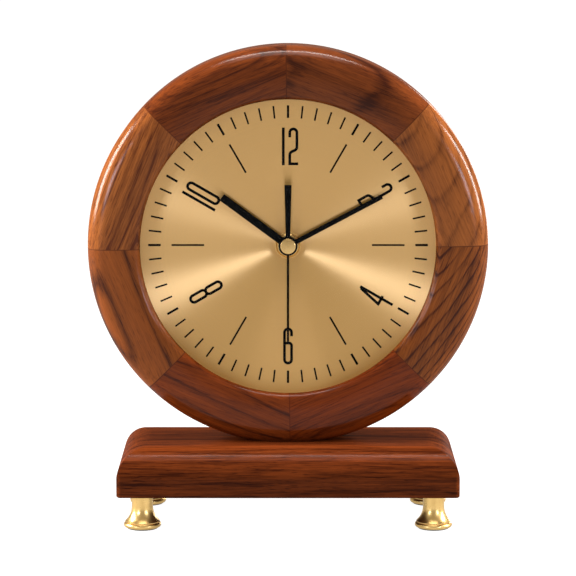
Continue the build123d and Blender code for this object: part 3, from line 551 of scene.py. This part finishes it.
def dress_other_nodes():
    """Paints every node that isn't wood, and returns the finishes by slot."""
    made = {}
    for name, node in NODES.items():
        slot = node.material_slots[0].material.name.split(".")[0]
        if slot not in SLOT_FINISHES:
            continue
        if slot not in made:
            finish, settings = SLOT_FINISHES[slot]
            made[slot] = finish(slot + "_finish", **settings)
        paint(name, made[slot])
    return made


# ---------------------------------------------------------------- dial printing

INK_THICKNESS = 0.05 * MM
TICK_INNER = 63.7 * MM
TICK_OUTER = 70.0 * MM
TICK_WIDTH = 0.85 * MM
HOUR_TICK_WIDTH = 1.15 * MM
LINE_INNER = 42.0 * MM
LINE_OUTER = 58.3 * MM
LINE_WIDTH = 0.9 * MM
STROKE = 1.38 * MM
DIGIT_HEIGHT = 17.4 * MM
DIGIT_HALF = 1.78 * MM
ARC_STEPS = 14
S_CURVE_REACH = 0.62
MITRE_LIMIT = 0.3
SAME_POINT = 1e-7


def dial_point(clock, radius, aside=0.0):
    """A point (x, z) of the dial at a clock angle in degrees, aside being clockwise."""
    turn = math.radians(clock)
    x = math.sin(turn) * radius + math.cos(turn) * aside
    z = math.cos(turn) * radius - math.sin(turn) * aside
    return Vector((x, z))


def arc(centre, radius, start, end):
    """Points of an arc in the digit's plane, degrees counter-clockwise from +X."""
    points = []
    for step in range(ARC_STEPS + 1):
        turn = math.radians(start + (end - start) * step / ARC_STEPS)
        points.append(Vector(centre) + Vector((math.cos(turn), math.sin(turn))) * radius)
    return points


def s_curve(start, end):
    """A smooth change of side between two vertical runs."""
    start, end = Vector(start), Vector(end)
    reach = Vector((0, (end.y - start.y) * S_CURVE_REACH))
    points = []
    for step in range(ARC_STEPS + 1):
        t = step / ARC_STEPS
        s = 1 - t
        point = start * s**3 + (start + reach) * 3 * s * s * t
        point += (end - reach) * 3 * s * t * t + end * t**3
        points.append(point)
    return points


def stadium(low, high):
    """A closed loop with round ends between two heights."""
    r = DIGIT_HALF
    return arc((0, high - r), r, 0, 180) + arc((0, low + r), r, 180, 360)


def digit_one():
    half = STROKE / 2
    return [([Vector((0, -half)), Vector((0, DIGIT_HEIGHT + half))], False)]


def digit_zero():
    return [(stadium(0, DIGIT_HEIGHT), True)]


def digit_two():
    r, h = DIGIT_HALF, DIGIT_HEIGHT
    tip, straight, crossing = 2.35 * MM, 7.2 * MM, 4.0 * MM
    spring = h - r
    path = [Vector((-r, spring - tip))] + arc((0, spring), r, 180, 0)
    path += s_curve((r, spring - straight), (-r, spring - straight - crossing))
    path += [Vector((-r, 0)), Vector((r + STROKE / 2, 0))]
    return [(path, False)]


def digit_four():
    h = DIGIT_HEIGHT
    lean, bar, left, right = -0.6 * MM, 5.8 * MM, -3.2 * MM, 1.4 * MM
    stem = [Vector((0, -STROKE / 2)), Vector((0, h + STROKE / 2))]
    hook = [Vector((lean, h)), Vector((left, bar)), Vector((right, bar))]
    return [(stem, False), (hook, False)]


def digit_six():
    r, h = DIGIT_HALF, DIGIT_HEIGHT
    loop, corner, hook = 10.2 * MM, 1.2 * MM, 3.7 * MM
    path = [Vector((r, h - hook))] + arc((0, h - r), r, 0, 180)
    path += arc((0, r), r, 180, 360)
    path += arc((r - corner, loop - corner), corner, 0, 90)
    path += [Vector((-r, loop))]
    return [(path, False)]


def digit_eight():
    half = DIGIT_HEIGHT / 2
    return [(stadium(0, half), True), (stadium(half, DIGIT_HEIGHT), True)]


# Clock angle, radius of the digits' foot, whether their tops point outward, digits with offsets aside.
NUMERALS = [
    (0, 40.8 * MM, True, [(digit_one, -2.35 * MM), (digit_two, 2.64 * MM)]),
    (60, 41.8 * MM, True, [(digit_two, 0.0)]),
    (120, 59.9 * MM, False, [(digit_four, 0.0)]),
    (180, 59.9 * MM, False, [(digit_six, 0.0)]),
    (240, 56.2 * MM, False, [(digit_eight, 0.0)]),
    (300, 41.0 * MM, True, [(digit_one, -3.1 * MM), (digit_zero, 1.4 * MM)]),
]


def offsets(points, closed, half):
    """The left and right edge points of a stroke along a path, with mitred corners."""
    count = len(points)
    left, right = [], []
    for i, point in enumerate(points):
        before = points[i - 1] if closed or i else None
        after = points[(i + 1) % count] if closed or i < count - 1 else None
        one = (point - before).normalized() if before is not None else None
        two = (after - point).normalized() if after is not None else None
        one = one or two
        two = two or one
        normal = Vector((-one.y - two.y, one.x + two.x)).normalized()
        stretch = 1 / max(MITRE_LIMIT, normal.dot(Vector((-one.y, one.x))))
        left.append(point + normal * half * stretch)
        right.append(point - normal * half * stretch)
    return left, right


def lay_stroke(mesh, points, closed, width):
    """Adds a thin closed bar of ink along a path given in the dial's plane."""
    clean = [points[0]]
    for point in points[1:]:
        if (point - clean[-1]).length > SAME_POINT:
            clean.append(point)
    if closed and (clean[0] - clean[-1]).length < SAME_POINT:
        clean.pop()
    left, right = offsets(clean, closed, width / 2)
    rows = []
    for a, b in zip(left, right):
        row = []
        for side, height in ((a, 0), (b, 0), (b, INK_THICKNESS), (a, INK_THICKNESS)):
            place = (DIAL_CENTRE.x + side.x, DIAL_FRONT - height, DIAL_CENTRE.z + side.y)
            row.append(mesh.verts.new(place))
        rows.append(row)
    last = len(rows) if closed else len(rows) - 1
    for i in range(last):
        one, two = rows[i], rows[(i + 1) % len(rows)]
        for k in range(4):
            mesh.faces.new((one[k], one[(k + 1) % 4], two[(k + 1) % 4], two[k]))
    if not closed:
        mesh.faces.new(rows[0])
        mesh.faces.new(list(reversed(rows[-1])))


def printed_piece(name, strokes, material):
    """One object of ink strokes, each (points, closed, width), that rides on the case."""
    mesh = bmesh.new()
    for points, closed, width in strokes:
        lay_stroke(mesh, points, closed, width)
    bmesh.ops.recalc_face_normals(mesh, faces=mesh.faces)
    data = bpy.data.meshes.new(name)
    mesh.to_mesh(data)
    mesh.free()
    data.materials.append(material)
    piece = bpy.data.objects.new(name, data)
    bpy.context.scene.collection.objects.link(piece)
    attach(piece, "root")


def radial_bar(clock, inner, outer, width):
    return [dial_point(clock, inner), dial_point(clock, outer)], False, width


def tick_strokes():
    strokes = []
    for minute in range(60):
        width = TICK_WIDTH if minute % 5 else HOUR_TICK_WIDTH
        strokes.append(radial_bar(minute * 6, TICK_INNER, TICK_OUTER, width))
    return strokes


def hour_line_strokes():
    return [radial_bar(hour * 30, LINE_INNER, LINE_OUTER, LINE_WIDTH) for hour in range(1, 12, 2)]


def numeral_strokes():
    strokes = []
    for clock, foot, outward, digits in NUMERALS:
        way = 1 if outward else -1
        for digit, aside in digits:
            for points, closed in digit():
                placed = [dial_point(clock, foot + way * p.y, way * (p.x + aside)) for p in points]
                strokes.append((placed, closed, STROKE))
    return strokes


def print_dial(ink):
    printed_piece("dial_minute_track", tick_strokes(), ink)
    printed_piece("dial_hour_lines", hour_line_strokes(), ink)
    printed_piece("dial_numerals", numeral_strokes(), ink)


# ---------------------------------------------------------------- studio

FLOOR_RADIUS = 14.0
FLOOR_SIDES = 96
FLOOR_PAPER = 0.18
FLOOR_GLOW = 0.97  # as it shows
UNDER_GLOW = 0.08  # as it lights dull surfaces
GLOSS_DIMMING = 0.52  # how far from the first to the second it is in glossy surfaces
WORLD_STRENGTH = 0.4
WORLD_COLOUR = (1.0, 0.93, 0.8)
COOL_LIGHT = (0.92, 1.06, 1.32)
WARM_LIGHT = (1.0, 0.97, 0.93)


def add_floor():
    """A plain pale floor, lit from within. Its glow shows, but hardly lights the clock from below."""
    mesh = bmesh.new()
    bmesh.ops.create_circle(mesh, cap_ends=True, segments=FLOOR_SIDES, radius=FLOOR_RADIUS)
    data = bpy.data.meshes.new("studio_floor")
    mesh.to_mesh(data)
    mesh.free()
    graph = Graph("studio_floor_paper", Roughness=0.9, Specular_IOR_Level=0.1)
    speck = graph.noise(graph.coordinates, scale=300, detail=2.0)
    paper = (FLOOR_PAPER,) * 3
    tone = graph.mix(graph.level(speck, 0.3, 0.7), paper, tuple(c * 1.02 for c in paper))
    path = graph.add("LightPath").outputs
    dimmed = graph.math("MULTIPLY_ADD", path["Is Glossy Ray"], GLOSS_DIMMING, path["Is Diffuse Ray"])
    glow = graph.level(dimmed, 0.0, 1.0, FLOOR_GLOW, UNDER_GLOW)
    graph.set({"Base Color": tone, "Emission Color": (1.0, 1.0, 1.0), "Emission Strength": glow})
    data.materials.append(graph.material)
    floor = bpy.data.objects.new("studio_floor", data)
    floor.location.z = FLOOR_HEIGHT
    bpy.context.scene.collection.objects.link(floor)


def add_world():
    """An even, dim and warm room."""
    world = bpy.data.worlds.new("studio")
    world.use_nodes = True
    background = world.node_tree.nodes["Background"]
    background.inputs["Color"].default_value = (*WORLD_COLOUR, 1)
    background.inputs["Strength"].default_value = WORLD_STRENGTH
    bpy.context.scene.world = world


def softbox(name, direction, distance, size, power, colour=WARM_LIGHT):
    """A rectangular light aimed at the clock from a direction."""
    data = bpy.data.lights.new(name, "AREA")
    data.shape = "RECTANGLE"
    data.size, data.size_y = size
    data.energy = power
    data.color = colour
    light = bpy.data.objects.new(name, data)
    aim = (CAD_BOX[0] + CAD_BOX[1]) / 2
    away = Vector(direction).normalized()
    light.location = aim + away * distance
    light.rotation_mode = "QUATERNION"
    light.rotation_quaternion = away.to_track_quat("Z", "Y")
    bpy.context.scene.collection.objects.link(light)


def add_lights():
    """Name, direction, distance and size in metres, watts and colour of each light."""
    softbox("left_softbox", (-0.64, -0.75, 0.14), 1.3, (0.30, 0.2), 3.3, COOL_LIGHT)
    softbox("right_softbox", (0.64, -0.75, 0.14), 1.3, (0.30, 0.2), 3.3, COOL_LIGHT)
    softbox("left_strip", (-0.97, 0.02, 0.33), 1.0, (0.28, 0.5), 20.0)
    softbox("right_strip", (0.97, 0.02, 0.33), 1.0, (0.18, 0.5), 14.0)
    softbox("rim_light", (0.42, 0.9, 0.12), 1.2, (0.2, 0.6), 4.0)
    softbox("top_softbox", (0.0, -0.25, 1.0), 1.4, (0.9, 0.5), 7.0)
    softbox("top_strip", (0.0, -0.03, 1.0), 1.1, (0.9, 0.06), 10.0)


def set_colours():
    bpy.context.scene.view_settings.view_transform = "Standard"


add_camera()
dress_ring()
dress_plinth()
finishes = dress_other_nodes()
print_dial(finishes["hand_black"])
add_floor()
add_world()
add_lights()
set_colours()
